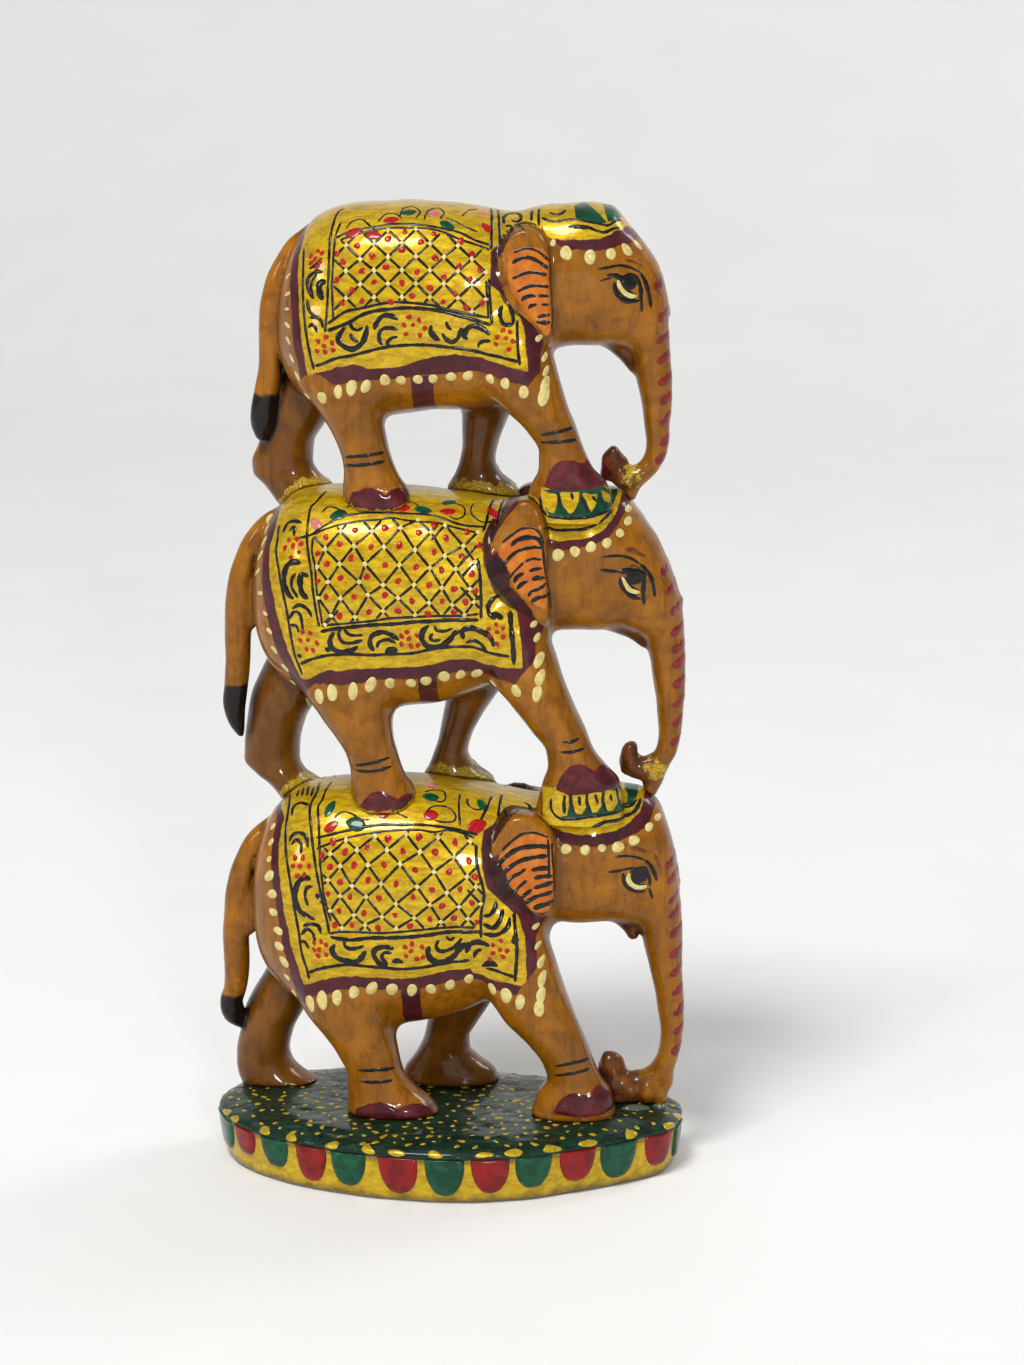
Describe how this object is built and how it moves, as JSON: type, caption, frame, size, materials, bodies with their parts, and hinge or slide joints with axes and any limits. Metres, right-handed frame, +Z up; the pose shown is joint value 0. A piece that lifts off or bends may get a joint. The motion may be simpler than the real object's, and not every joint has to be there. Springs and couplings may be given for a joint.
{
  "type": "carved wooden elephant tower",
  "caption": "Tower of carved and painted wooden elephants, each standing on the back of the one below, on a lens-shaped painted plinth.",
  "frame": {"origin": "middle of the bounding box, on the underside of the plinth", "axes": "+Z up, +X towards the elephants' heads, -Y out of the near flank"},
  "size_m": [0.1, 0.0542, 0.2028],
  "materials": {
    "lacquered_wood": "carved, hand painted and gloss lacquered",
    "painted_plinth": "green and yellow enamel, gloss lacquered",
    "dowel_wood": "bare"
  },
  "bodies": {
    "root": {"base_plinth": "painted_plinth", "lower_elephant": "lacquered_wood", "middle_elephant": "lacquered_wood", "upper_elephant": "lacquered_wood", "lower_dowel_rear": "dowel_wood", "lower_dowel_fore": "dowel_wood", "middle_dowel_rear": "dowel_wood", "middle_dowel_fore": "dowel_wood", "upper_dowel_rear": "dowel_wood", "upper_dowel_fore": "dowel_wood"}
  },
  "joints": []
}
